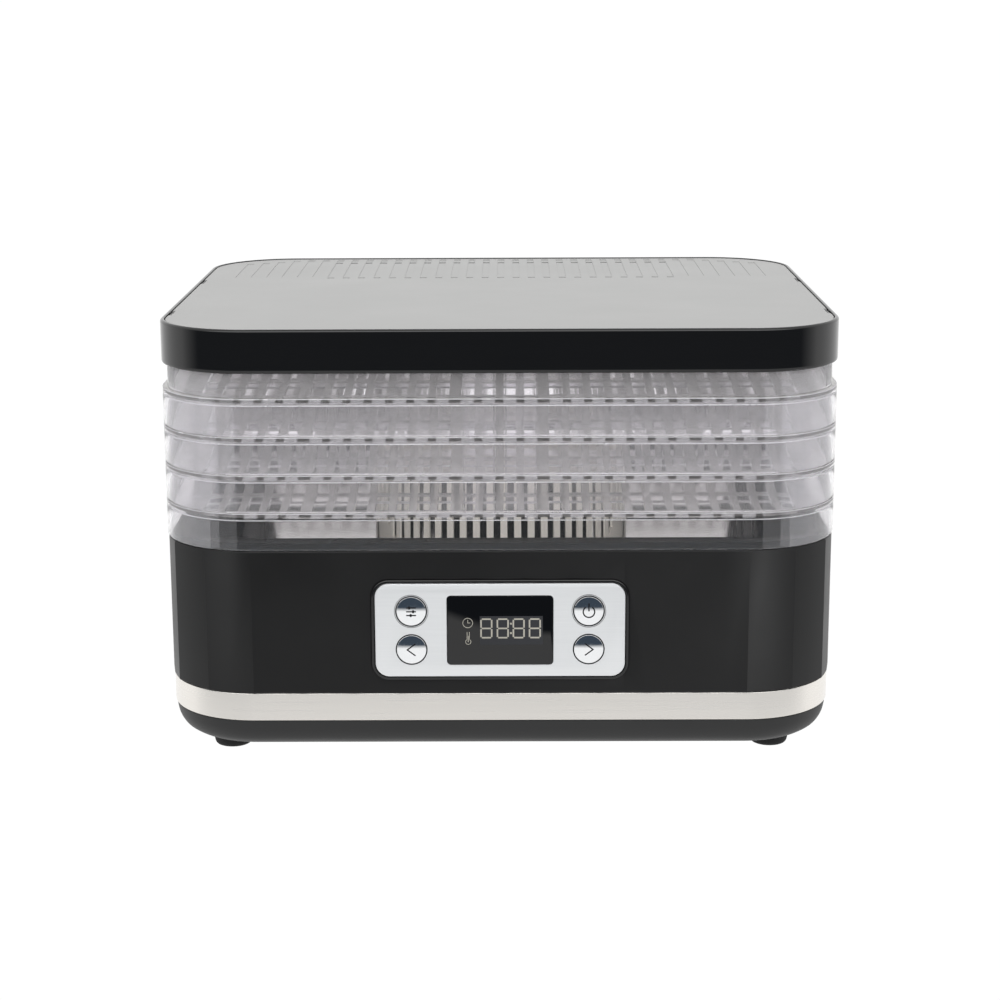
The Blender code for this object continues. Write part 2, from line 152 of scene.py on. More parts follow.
def facing_front(shape):
    """Turn what stands on the XY plane so that its top faces the front, -Y."""
    bmesh.ops.rotate(shape, verts=shape.verts, matrix=Matrix.Rotation(math.radians(90), 3, "X"))


def make_piece(name, shape, look, body, replaced=(), place=(0, 0, 0),
               angle=SHARP_ANGLE):
    """An object from the shape, moved to its place, riding on the body for the replaced nodes."""
    bmesh.ops.recalc_face_normals(shape, faces=shape.faces)
    mesh = bpy.data.meshes.new(name)
    shape.to_mesh(mesh)
    shape.free()
    mesh.transform(Matrix.Translation(place))
    mesh.shade_smooth()
    mesh.set_sharp_from_angle(angle=math.radians(angle))
    mesh.materials.append(look)
    piece = bpy.data.objects.new(name, mesh)
    bpy.context.scene.collection.objects.link(piece)
    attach(piece, body)
    if replaced:
        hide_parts(*replaced)
    return piece


def weighted(piece):
    modifier = piece.modifiers.new("normals", "WEIGHTED_NORMAL")
    modifier.keep_sharp = True


def apply_cut(piece, cutter_shape):
    """Cut the shape out of the piece and keep the result as its mesh."""
    bmesh.ops.recalc_face_normals(cutter_shape, faces=cutter_shape.faces)
    mesh = bpy.data.meshes.new("cutter")
    cutter_shape.to_mesh(mesh)
    cutter_shape.free()
    cutter = bpy.data.objects.new("cutter", mesh)
    bpy.context.scene.collection.objects.link(cutter)
    modifier = piece.modifiers.new("cut", "BOOLEAN")
    modifier.operation = "DIFFERENCE"
    modifier.solver = "EXACT"
    modifier.object = cutter
    bpy.context.view_layer.update()
    evaluated = piece.evaluated_get(bpy.context.evaluated_depsgraph_get())
    cut_mesh = bpy.data.meshes.new_from_object(evaluated)
    piece.modifiers.remove(modifier)
    piece.data = cut_mesh
    bpy.data.objects.remove(cutter, do_unlink=True)
    piece.data.shade_smooth()
    piece.data.set_sharp_from_angle(angle=math.radians(SHARP_ANGLE))


# ---- materials ------------------------------------------------------------------------------

def new_material(name, colour, roughness, metallic=0.0):
    made = bpy.data.materials.new(name)
    made.use_nodes = True
    shader = made.node_tree.nodes["Principled BSDF"]
    shader.inputs["Base Color"].default_value = (*colour, 1.0)
    shader.inputs["Roughness"].default_value = roughness
    shader.inputs["Metallic"].default_value = metallic
    return made, made.node_tree, shader


def add_noise(tree, scale, stretch=(1, 1, 1), detail=4.0):
    """A noise texture in object space, stretched along the given axes."""
    coordinates = tree.nodes.new("ShaderNodeTexCoord")
    mapping = tree.nodes.new("ShaderNodeMapping")
    mapping.inputs["Scale"].default_value = stretch
    noise = tree.nodes.new("ShaderNodeTexNoise")
    noise.inputs["Scale"].default_value = scale
    noise.inputs["Detail"].default_value = detail
    tree.links.new(coordinates.outputs["Object"], mapping.inputs["Vector"])
    tree.links.new(mapping.outputs["Vector"], noise.inputs["Vector"])
    return noise


def vary(tree, noise, socket, low, high):
    """Drive a shader's value from the noise, between low and high."""
    spread = tree.nodes.new("ShaderNodeMapRange")
    spread.inputs["From Min"].default_value = 0.3
    spread.inputs["From Max"].default_value = 0.7
    spread.inputs["To Min"].default_value = low
    spread.inputs["To Max"].default_value = high
    tree.links.new(noise.outputs["Fac"], spread.inputs["Value"])
    tree.links.new(spread.outputs["Result"], socket)


def add_bump(tree, shader, noise, strength, distance):
    bump = tree.nodes.new("ShaderNodeBump")
    bump.inputs["Strength"].default_value = strength
    bump.inputs["Distance"].default_value = distance
    tree.links.new(noise.outputs["Fac"], bump.inputs["Height"])
    tree.links.new(bump.outputs["Normal"], shader.inputs["Normal"])


def vary_colour(tree, noise, shader, dark, light):
    ramp = tree.nodes.new("ShaderNodeValToRGB")
    ramp.color_ramp.elements[0].position = 0.3
    ramp.color_ramp.elements[0].color = (*dark, 1)
    ramp.color_ramp.elements[1].position = 0.7
    ramp.color_ramp.elements[1].color = (*light, 1)
    tree.links.new(noise.outputs["Fac"], ramp.inputs["Fac"])
    tree.links.new(ramp.outputs["Color"], shader.inputs["Base Color"])


def satin_plastic(name, dark, light, roughness, grain, specular=0.5):
    made, tree, shader = new_material(name, light, roughness)
    shader.inputs["Specular IOR Level"].default_value = specular
    fine = add_noise(tree, 2600, detail=2)
    add_bump(tree, shader, fine, grain, 0.00004)
    broad = add_noise(tree, 18, detail=5)
    vary(tree, broad, shader.inputs["Roughness"], roughness - 0.04, roughness + 0.05)
    vary_colour(tree, broad, shader, dark, light)
    return made


def gloss_plastic(name, colour, roughness, specular=0.5, waviness=0.05):
    made, tree, shader = new_material(name, colour, roughness)
    shader.inputs["Specular IOR Level"].default_value = specular
    broad = add_noise(tree, 30, detail=2)
    vary(tree, broad, shader.inputs["Roughness"], roughness * 0.8, roughness * 1.2)
    wave = add_noise(tree, 14, detail=1)
    add_bump(tree, shader, wave, waviness, 0.0004)
    return made


def brushed_metal(name, dark, light, roughness, metallic, stretch, bump=0.12):
    made, tree, shader = new_material(name, light, roughness, metallic)
    brush = add_noise(tree, 900, stretch, detail=3)
    add_bump(tree, shader, brush, bump, 0.00003)
    vary(tree, brush, shader.inputs["Roughness"], roughness - 0.02, roughness + 0.03)
    vary_colour(tree, brush, shader, dark, light)
    return made


def clear_plastic(name, colour, clearness, roughness, ior=1.34):
    """Clear plastic: what doesn't pass through it is scattered, which gives it a slight haze."""
    made, tree, shader = new_material(name, colour, roughness)
    shader.inputs["Transmission Weight"].default_value = clearness
    shader.inputs["IOR"].default_value = ior
    broad = add_noise(tree, 22, detail=4)
    vary(tree, broad, shader.inputs["Roughness"], roughness * 0.5, roughness * 1.5)
    wave = add_noise(tree, 25, detail=1)
    add_bump(tree, shader, wave, 0.02, 0.0002)
    return made


LOOKS = {
    "black": satin_plastic("satin_black", (0.004, 0.004, 0.0042), (0.006, 0.006, 0.0062),
                           0.38, 0.15, 0.20),
    "tub": satin_plastic("tub_black", (0.016, 0.016, 0.016), (0.022, 0.022, 0.022),
                         0.50, 0.25, 0.35),
    "gloss": gloss_plastic("gloss_black", (0.0065, 0.0065, 0.0067), 0.08, 0.45),
    "deck": gloss_plastic("deck_black", (0.004, 0.007, 0.011), 0.25, 0.004, 0.0),
    "lid": satin_plastic("lid_satin_grey", (0.315, 0.315, 0.31), (0.33, 0.33, 0.325),
                         0.42, 0.15, 0.35),
    "clear": clear_plastic("clear_polycarbonate", (0.97, 0.958, 0.964), 0.99, 0.02),
    "floor": clear_plastic("clear_floor", (0.95, 0.935, 0.925), 0.77, 0.12),
    "mist": clear_plastic("clear_bend", (0.96, 0.95, 0.965), 0.955, 0.03),
    "haze": clear_plastic("clear_corner", (0.95, 0.94, 0.965), 0.90, 0.05),
    # Painted highlight: a whiter, less clear plastic that paints the bright lines along each tray's
    # shoulder.
    "highlight_paint": clear_plastic("edge_highlight_paint", (0.84, 0.83, 0.87), 0.55, 0.25),
    "band": brushed_metal("band_steel", (0.82, 0.79, 0.745), (0.85, 0.82, 0.775), 0.25, 1.0,
                          (0.02, 0.02, 1), 0.015),
    "steel": brushed_metal("plain_steel", (0.50, 0.49, 0.47), (0.54, 0.53, 0.51), 0.10, 1.0,
                           (0.03, 1, 1), 0.004),
    # Painted reflection: a near-white, non-metal colour stands in for the bright reflections of the
    # drum's steel.
    "drum": brushed_metal("drum_painted_reflection", (0.90, 0.86, 0.79), (0.94, 0.90, 0.83), 0.40, 0.0,
                          (1, 1, 0.05), 0.04),
    "fascia": brushed_metal("fascia_silver", (0.75, 0.76, 0.765), (0.78, 0.79, 0.795), 0.42, 0.45,
                            (0.02, 1, 1), 0.02),
    "chrome": brushed_metal("mirror_chrome", (0.84, 0.85, 0.86), (0.86, 0.87, 0.88), 0.05, 1.0,
                            (1, 1, 1), 0.0),
    "rubber": satin_plastic("foot_rubber", (0.010, 0.010, 0.010), (0.018, 0.018, 0.018),
                            0.75, 0.6, 0.3),
    "board": satin_plastic("board_green", (0.012, 0.09, 0.035), (0.02, 0.14, 0.06), 0.45, 0.2),
    "ceramic": satin_plastic("ceramic_white", (0.66, 0.63, 0.57), (0.76, 0.73, 0.67), 0.62, 0.5),
    "zinc": brushed_metal("dark_metal", (0.16, 0.155, 0.15), (0.26, 0.25, 0.24), 0.38, 1.0,
                          (1, 1, 0.1)),
    "glass": gloss_plastic("window_black", (0.003, 0.003, 0.0034), 0.05, 0.5),
    "segment": satin_plastic("segment_grey", (0.36, 0.34, 0.29), (0.44, 0.42, 0.36), 0.5, 0.1),
    "ink": satin_plastic("icon_ink", (0.006, 0.006, 0.007), (0.010, 0.010, 0.011), 0.5, 0.1, 0.1),
    "led": satin_plastic("led_backing", (0.022, 0.023, 0.026), (0.03, 0.031, 0.035), 0.4, 0.1, 0.3),
}


# ---- casing ---------------------------------------------------------------------------------

def fluted_outline(inset, groove):
    """The body's outline in flat pleats, whose edges lie in turn on the outline and behind it."""
    straight_x, straight_y = WIDTH / 2 - CORNER_RADIUS, DEPTH / 2 - CORNER_RADIUS
    pleats_x, pleats_y, pleats_corner = 20, 16, 6
    posts = []
    for corner, (side_x, side_y) in enumerate([(1, 1), (-1, 1), (-1, -1), (1, -1)]):
        middle = Vector((side_x * straight_x, side_y * straight_y))
        for step in range(pleats_corner):
            turn = math.radians(90) * (corner + step / pleats_corner)
            normal = Vector((math.cos(turn), math.sin(turn)))
            posts.append((middle + normal * (CORNER_RADIUS - inset), normal))
        turn = math.radians(90) * (corner + 1)
        normal = Vector((math.cos(turn), math.sin(turn)))
        start = middle + normal * (CORNER_RADIUS - inset)
        count = pleats_x if corner % 2 == 0 else pleats_y
        length = 2 * (straight_x if corner % 2 == 0 else straight_y)
        along = Vector((-normal.y, normal.x))
        for step in range(count):
            posts.append((start + along * length * step / count, normal))
    return [post - normal * (groove if index % 2 else 0)
            for index, (post, normal) in enumerate(posts)]


def make_shell():
    shape = bmesh.new()
    low, high = SHELL_LOW[2], SHELL_HIGH[2]
    wall, groove, pleat_angle = 2.6 * MM, 0.6 * MM, 12
    profile = [(0.5 * MM, groove, low), (0.1 * MM, groove, low + 0.4 * MM),
               (0, groove, low + 1 * MM), (0, groove, high - 1.2 * MM),
               (0.15 * MM, groove * 0.5, high - 0.5 * MM), (0.6 * MM, 0, high),
               (wall, 0, high), (wall, 0, low)]
    loft(shape, [(fluted_outline(inset, deep), z) for inset, deep, z in profile], closed=True)
    shell = make_piece("fluted_shell", shape, LOOKS["black"], "base", ["base_shell"],
                       angle=pleat_angle)
    window = bmesh.new()
    bezel_low, bezel_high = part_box("panel_bezel")
    width = bezel_high[0] - bezel_low[0] + 0.4 * MM
    height = bezel_high[2] - bezel_low[2] + 0.4 * MM
    outline = rounded_outline(width, height, 8.9 * MM, 12)
    loft(window, [(outline, 0), (outline, CUT_REACH)])
    facing_front(window)
    bmesh.ops.translate(window, verts=window.verts, vec=(0, FRONT + CUT_REACH / 2, PANEL_MIDDLE))
    apply_cut(shell, window)
    gland_low, gland_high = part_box("cord_gland")
    hole = bmesh.new()
    loft(hole, turned_levels([(GLAND_CLEARANCE, 0), (GLAND_CLEARANCE, CUT_REACH)], 40))
    facing_front(hole)
    middle = (Vector(gland_low) + Vector(gland_high)) / 2
    bmesh.ops.translate(hole, verts=hole.verts, vec=(middle.x, -FRONT + CUT_REACH / 2, middle.z))
    apply_cut(shell, hole)
    shell.data.set_sharp_from_angle(angle=math.radians(pleat_angle))


def make_band_and_cover():
    shape = bmesh.new()
    profile = [(1.0 * MM, BAND_LOW[2]), (1.0 * MM, BAND_HIGH[2]),
               (2.0 * MM, BAND_HIGH[2]), (2.0 * MM, BAND_LOW[2])]
    loft(shape, body_levels(softened(profile, 0.35 * MM)), closed=True)
    weighted(make_piece("steel_band", shape, LOOKS["band"], "base", ["trim_band"]))

    shape = bmesh.new()
    floor = COVER_LOW[2]
    lip = BAND_LOW[2] - 0.3 * MM
    outer = [(16 * MM, floor), (10.5 * MM, floor + 1.2 * MM), (5.2 * MM, floor + 4.6 * MM),
             (2.5 * MM, floor + 9.3 * MM), (1.5 * MM, lip - 0.6 * MM), (1.6 * MM, lip),
             (2.3 * MM, lip), (2.3 * MM, COVER_HIGH[2]), (4.2 * MM, COVER_HIGH[2]),
             (4.2 * MM, lip), (7 * MM, floor + 6 * MM), (17 * MM, floor + 2.5 * MM)]
    loft(shape, body_levels(softened(outer, 4 * MM, closed=False, steps=4)))
    cover = make_piece("cover_tub", shape, LOOKS["tub"], "base", ["bottom_cover"])
    vents = bmesh.new()
    field_radius, pitch, half_width = 46 * MM, 7 * MM, 1.6 * MM
    for row in range(-6, 7):
        half = math.sqrt(field_radius ** 2 - (pitch * row) ** 2)
        box(vents, (-half, pitch * row - half_width, -0.01),
            (half, pitch * row + half_width, 0.03))
    apply_cut(cover, vents)


def make_feet():
    for row in ("front", "rear"):
        for column in ("left", "right"):
            low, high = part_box(f"foot_{row}_{column}")
            middle = (Vector(low) + Vector(high)) / 2
            height, radius = high[2] - low[2], (high[0] - low[0]) / 2
            shape = bmesh.new()
            profile = [(radius * 0.55, 0.7 * MM), (radius * 0.62, 0), (radius * 0.80, 0),
                       (radius * 0.90, 1.3 * MM), (radius, height - 0.5 * MM), (radius, height)]
            loft(shape, turned_levels(softened(profile, 0.8 * MM, closed=False), 56))
            make_piece(f"rubber_foot_{row}_{column}", shape, LOOKS["rubber"], "base",
                       [f"foot_{row}_{column}"], (middle.x, middle.y, low[2]))


# ---- deck -----------------------------------------------------------------------------------

def make_deck():
    shape = bmesh.new()
    outer, recess = 3.1 * MM, 37 * MM
    top, low = DECK_TOP, PLATE_TOP + 0.3 * MM
    surface = top - 4.3 * MM
    under = surface - 2 * MM
    profile = [(outer, under), (outer, top), (outer + 1.6 * MM, top), (outer + 1.6 * MM, surface),
               (recess, surface), (recess, low), (recess - 2 * MM, low), (recess - 2 * MM, under)]
    loft(shape, body_levels(softened(profile, 0.5 * MM)), closed=True)
    weighted(make_piece("deck_surface", shape, LOOKS["deck"], "base", ["top_deck"]))

    shape = bmesh.new()
    columns = 120
    levels = [DRUM_LOW[2], DRUM_LOW[2] + 4 * MM, DRUM_HIGH[2] - 4 * MM, DRUM_HIGH[2] - 0.8 * MM]
    radius, wall = (DRUM_HIGH[0] - DRUM_LOW[0]) / 2, 1.1 * MM

    def ring(ring_radius, z):
        return [shape.verts.new((p.x, p.y, z)) for p in circle_outline(ring_radius, columns)]

    outer = [ring(radius, z) for z in levels]
    inner = [ring(radius - wall, z) for z in levels[:3] + [DRUM_HIGH[2] - wall]]
    for column in range(columns):
        after = (column + 1) % columns
        slotted = column % 2 == 1
        for row in range(3):
            if row == 1 and slotted:
                continue
            for side in (outer, inner):
                shape.faces.new((side[row][column], side[row][after],
                                 side[row + 1][after], side[row + 1][column]))
        shape.faces.new((outer[0][column], outer[0][after], inner[0][after], inner[0][column]))
        if slotted:
            for row in (1, 2):
                shape.faces.new((outer[row][column], outer[row][after],
                                 inner[row][after], inner[row][column]))
            for edge in (column, after):
                shape.faces.new((outer[1][edge], outer[2][edge], inner[2][edge], inner[1][edge]))
    rim = ring(radius - 0.8 * MM, DRUM_HIGH[2])
    for column in range(columns):
        after = (column + 1) % columns
        shape.faces.new((outer[3][column], outer[3][after], rim[after], rim[column]))
    shape.faces.new(rim)
    shape.faces.new(inner[3])
    make_piece("slotted_drum", shape, LOOKS["drum"], "base", ["heater_guard"], angle=30)


# ---- trays and lid --------------------------------------------------------------------------

def tray_slots():
    """Cutters for the slots of a tray's floor: columns across, rows front to back."""
    shape = bmesh.new()
    rows = [(step - 5) * SLOT_ROW_PITCH for step in range(11)]
    straight_x, straight_y = WIDTH / 2 - CORNER_RADIUS, DEPTH / 2 - CORNER_RADIUS
    edge = CORNER_RADIUS - 6.5 * MM
    for column in slot_columns():
        far_x = max(column + SLOT_WIDTH / 2 - straight_x, 0)
        if far_x >= edge:
            continue
        limit = straight_y + math.sqrt(edge ** 2 - far_x ** 2)
        for row in rows:
            start = max(row - SLOT_LENGTH / 2, -limit)
            end = min(row + SLOT_LENGTH / 2, limit)
            if end - start < 4 * MM:
                continue
            for side in (-1, 1):
                x = side * column
                box(shape, (x - SLOT_WIDTH / 2, start, -10 * MM),
                    (x + SLOT_WIDTH / 2, end, 5 * MM))
    return shape


def tray_solid():
    """A whole tray with its shoulder at z = 0 and its floor cut with slots.

    The plastic is clearest in the flat walls and hazier in the floor and at the rear; painted
    highlights: hazier looks at the bends, and a whiter look along the shoulder edge and the line
    below it.
    """
    shape = bmesh.new()
    skirt = [(2.2 * MM, -SKIRT_HEIGHT), (0.5 * MM, -SKIRT_HEIGHT), (0, -SKIRT_HEIGHT + 0.8 * MM),
             (0, -3.5 * MM), (0.35 * MM, -3.3 * MM), (0, -3.1 * MM), (0, 0), (2.6 * MM, 0),
             (2.6 * MM, TRAY_NECK), (4.2 * MM, TRAY_NECK), (4.3 * MM, 0)]
    profile = [(2.4 * MM, -2.2 * MM)] + skirt
    loft(shape, body_levels(softened(profile, 0.3 * MM, closed=False, steps=2)))
    tray = make_piece("tray_1_clear", shape, LOOKS["clear"], "tray_1", ["tray_1"])
    apply_cut(tray, tray_slots())
    mesh = tray.data
    mesh.materials.clear()
    for look in TRAY_LOOKS:
        mesh.materials.append(LOOKS[look])
    for face in mesh.polygons:
        heights = [mesh.vertices[index].co.z for index in face.vertices]
        low, high = min(heights), max(heights)
        # Painted highlight: faces at the bends take the hazier, whiter looks, which paint the
        # corners' whitish highlights.
        bend = min(abs(face.normal.x), abs(face.normal.y))
        kind = HAZE_AND_HIGHLIGHT if bend > 0.35 else BEND if bend > 0.12 else CLEAR
        if face.normal.y > 0.9:
            kind = HAZE_AND_HIGHLIGHT if face.center.y > 0 else FRONT_WALL
        on_shoulder_edge = low > -0.36 * MM and high < 0.01 * MM and high - low > 0.01 * MM
        on_lower_line = low > -3.6 * MM and high < -3.0 * MM
        on_floor = abs(face.normal.z) > 0.9 and low > -2.3 * MM and high < 0.01 * MM
        face.material_index = FLOOR if on_floor else kind
        # Painted highlight: the shoulder edge and the line 3.3 mm below it get the whiter, less
        # clear look.
        if on_shoulder_edge or on_lower_line:
            face.material_index = PAINTED_HIGHLIGHT
    return tray


def slot_columns():
    """Middles of the slots right of the middle, with a wider bar after the 2nd and the 9th."""
    pitch, wide_bar = 10.15 * MM, 2 * MM
    columns = [(step + 0.5) * pitch for step in range(2)]
    columns += [columns[-1] + wide_bar + (step + 1) * pitch for step in range(7)]
    columns += [columns[-1] + wide_bar + (step + 1) * pitch for step in range(5)]
    return columns


def add_pads(mesh):
    """Upright pads inside the front and rear walls, and a hazy dash at the end of each slot."""
    shape = bmesh.new()
    shape.from_mesh(mesh)
    wall = set(shape.faces)
    for low_x, high_x in ((-17.6 * MM, -2.2 * MM), (2.8 * MM, 18.2 * MM)):
        for side in (-1, 1):
            middle = Vector((-side * (low_x + high_x) / 2, side * (DEPTH / 2 - 5.5 * MM)))
            pad = rounded_outline(high_x - low_x, 2 * MM, 0.9 * MM, 4)
            outline = [point + middle for point in pad]
            loft(shape, [(outline, 0.1 * MM), (outline, TRAY_NECK - 1 * MM)])
    plain = set(shape.faces)
    for face in plain - wall:
        face.material_index = BEND
    for column in slot_columns():
        if column > WIDTH / 2 - CORNER_RADIUS:
            continue
        for side_x in (-1, 1):
            for side_y in (-1, 1):
                ends = sorted((side_y * (DEPTH / 2 + 0.05 * MM),
                               side_y * (DEPTH / 2 - 0.25 * MM)))
                box(shape, (side_x * column - 3.1 * MM, ends[0], -2.5 * MM),
                    (side_x * column + 3.1 * MM, ends[1], -0.5 * MM))
    for face in shape.faces:
        if face not in plain:
            face.material_index = HAZE_AND_HIGHLIGHT
    shape.to_mesh(mesh)
    shape.free()


def make_trays():
    """Four alike trays; the front wall is clear in the lowest and hazy in the others."""
    first = tray_solid()
    add_pads(first.data)
    for number, shoulder in enumerate(SHOULDERS, 1):
        tray = first
        if number > 1:
            tray = bpy.data.objects.new(f"tray_{number}_clear", first.data.copy())
            bpy.context.scene.collection.objects.link(tray)
            tray.data.transform(Matrix.Translation((0, 0, shoulder)))
            tray.data.materials[FRONT_WALL] = LOOKS["haze"]
            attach(tray, f"tray_{number}")
            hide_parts(f"tray_{number}")
    first.data.transform(Matrix.Translation((0, 0, SHOULDERS[0])))


def make_lid():
    shape = bmesh.new()
    low, top = LID_LOW[2], LID_HIGH[2]
    stop = SHOULDERS[3] + TRAY_NECK + 0.3 * MM
    profile = [(0.7 * MM, low), (0.15 * MM, low + 0.4 * MM), (0, low + 1.4 * MM),
               (0, top - 0.9 * MM), (0.9 * MM, top), (2.0 * MM, top), (2.2 * MM, top - 1.6 * MM),
               (10 * MM, top - 1.6 * MM), (10 * MM, top - 3.4 * MM), (5 * MM, top - 4.4 * MM),
               (5 * MM, stop), (2.0 * MM, stop), (2.0 * MM, low)]
    loft(shape, body_levels(softened(profile, 0.5 * MM)), closed=True)
    weighted(make_piece("lid_rim", shape, LOOKS["gloss"], "lid", ["lid_frame"]))

    plate_low, plate_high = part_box("lid_panel")
    inset = plate_low[0] + WIDTH / 2
    shape = bmesh.new()
    profile = [(inset, plate_low[2]), (inset, plate_high[2] - 0.25 * MM),
               (inset + 0.25 * MM, plate_high[2])]
    loft(shape, body_levels(profile))
    plate = make_piece("lid_plate", shape, LOOKS["lid"], "lid", ["lid_panel"])
    cutter = bmesh.new()
    pitch, top = 8.65 * MM, plate_high[2]
    vents_reach, row_reach = 102 * MM, 118 * MM
    for column in range(-17, 18):
        x = (column - 0.5) * pitch + pitch / 2
        near_corner = max(0, abs(x) - row_reach) * 0.5
        box(cutter, (x - 2.0 * MM, 57 * MM, top - 0.22 * MM),
            (x + 2.0 * MM, 132 * MM - near_corner, top + 1 * MM))
    apply_cut(plate, cutter)
    cutter = bmesh.new()
    for column in range(-17, 18):
        x = column * pitch
        rows = [(134.6, 136.6, 0.5)] if abs(x) < row_reach else []
        if abs(x) < vents_reach:
            rows += [(120, 124.5, 3), (51.5, 54.5, 0.5)]
        for start, end, deep in rows:
            box(cutter, (x - 1.9 * MM, start * MM, top - deep * MM),
                (x + 1.9 * MM, end * MM, top + 1 * MM))
    for side in (-1, 1):
        for start, end in ((-90, -74), (30, 46)):
            edges = sorted((side * (WIDTH / 2 - 2 * MM), side * (WIDTH / 2 - 4.2 * MM)))
            box(cutter, (edges[0], start * MM, top - 3 * MM), (edges[1], end * MM, top + 1 * MM))
    apply_cut(plate, cutter)


# ---- control panel --------------------------------------------------------------------------

def front_plate(name, outline, back, front, edge, look, replaced):
    """A plate on the front wall with a rounded front edge; back and front are in y."""
    shape = bmesh.new()
    width = max(point.x for point in outline) * 2
    height = max(point.y for point in outline) * 2

    def shrunk(amount):
        across, up = 1 - 2 * amount / width, 1 - 2 * amount / height
        return [Vector((p.x * across, p.y * up)) for p in outline]

    loft(shape, [(outline, -back), (outline, -front - edge),
                 (shrunk(edge * 0.3), -front - edge * 0.3), (shrunk(edge), -front)])
    facing_front(shape)
    return make_piece(name, shape, look, "base", replaced, (0, 0, PANEL_MIDDLE))


def ribbon(points, width):
    """Outline of a stroke of the given width along the points, with mitred corners."""
    points = [Vector(point) for point in points]
    left, right = [], []
    for index, point in enumerate(points):
        before = points[max(index - 1, 0)]
        after = points[min(index + 1, len(points) - 1)]
        ways = [way.normalized() for way in (point - before, after - point) if way.length > 0]
        along = sum(ways, Vector((0, 0))).normalized()
        normal = Vector((-along.y, along.x))
        reach = width / 2 / max(along.dot(ways[0]), 0.3)
        left.append(point + normal * reach)
        right.append(point - normal * reach)
    return left + right[::-1]


def add_stroke(shape, points, width, front, back):
    """A flat stroke along the points, given in x and z, between two values of y."""
    outline = ribbon(points, width)
    count = len(outline) // 2
    near = [shape.verts.new((p.x, front, p.y)) for p in outline]
    far = [shape.verts.new((p.x, back, p.y)) for p in outline]
    for index in range(count - 1):
        other = len(outline) - 1 - index
        for ring in (near, far):
            shape.faces.new((ring[index], ring[index + 1], ring[other - 1], ring[other]))
    for index in range(len(outline)):
        after = (index + 1) % len(outline)
        shape.faces.new((near[index], near[after], far[after], far[index]))


def arc(middle, radius, start, end, steps=24):
    turns = [math.radians(start + (end - start) * step / steps) for step in range(steps + 1)]
    return [(middle[0] + radius * math.cos(turn), middle[1] + radius * math.sin(turn))
            for turn in turns]


def finely(points, step=0.5 * MM):
    """The points with more set between them, so that a stroke can follow a curved face."""
    result = [Vector(points[0])]
    for point in points[1:]:
        start, end = result[-1].copy(), Vector(point)
        count = max(1, round((end - start).length / step))
        result += [start.lerp(end, index / count) for index in range(1, count + 1)]
    return result


def make_ring(name, middle, radius, width, front):
    """A flat black ring round a button, just proud of the fascia."""
    shape = bmesh.new()
    levels = [(radius, 0), (radius, 0.1 * MM), (radius + width, 0.1 * MM), (radius + width, 0)]
    loft(shape, turned_levels(levels, 72), closed=True)
    facing_front(shape)
    make_piece(name, shape, LOOKS["ink"], "base", place=(middle[0], front, middle[1]))


def make_button(name, icon):
    """A domed chrome cap with a dark icon that follows its face."""
    low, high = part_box(name)
    middle_x, middle_z = (low[0] + high[0]) / 2, (low[2] + high[2]) / 2
    radius, face, back = (high[0] - low[0]) / 2, low[1], high[1]
    shape = bmesh.new()
    dome, edge = 0.4 * MM, 0.15 * MM
    sphere = (radius ** 2 + dome ** 2) / (2 * dome)

    def height(r):
        return -face - dome + math.sqrt(sphere ** 2 - r ** 2) - (sphere - dome)

    profile = [(radius, -back), (radius, height(radius) - edge)]
    shares = [0.98, 0.955, 0.93, 0.85, 0.75, 0.65, 0.55, 0.45, 0.35, 0.25, 0.15, 0.02]
    profile += [(radius * share, height(radius * share)) for share in shares]
    loft(shape, turned_levels(profile, 72))
    facing_front(shape)
    make_piece(f"{name}_cap", shape, LOOKS["chrome"], name, [name],
               (middle_x, 0, middle_z))
    shape = bmesh.new()
    for points, width in icon:
        add_stroke(shape, finely(points), width, 0, 0.2 * MM)
    for vertex in shape.verts:
        distance = math.hypot(vertex.co.x, vertex.co.z)
        vertex.co.y += -height(distance) - 0.05 * MM
    make_piece(f"{name}_icon", shape, LOOKS["ink"], name, place=(middle_x, 0, middle_z))


def button_icons():
    arm, reach = 3.0 * MM, 2.1 * MM
    line = 0.62 * MM
    bars = [([(-2.4 * MM, z * MM), (2.4 * MM, z * MM)], line) for z in (1.9, 0, -1.9)]
    knobs = [([(x * MM, (z - 0.75) * MM), (x * MM, (z + 0.75) * MM)], 0.9 * MM)
             for x, z in ((-0.9, 1.9), (1.0, 0), (-0.2, -1.9))]
    return {
        "set_button": bars + knobs,
        "down_button": [([(reach * 0.9, arm), (-reach, 0), (reach * 0.9, -arm)], line)],
        "up_button": [([(-reach * 0.9, arm), (reach, 0), (-reach * 0.9, -arm)], line)],
        "power_button": [(arc((0, -0.3 * MM), 2.8 * MM, 125, 415), 0.65 * MM),
                         ([(0, 0), (0, 4.0 * MM)], 0.65 * MM)],
    }


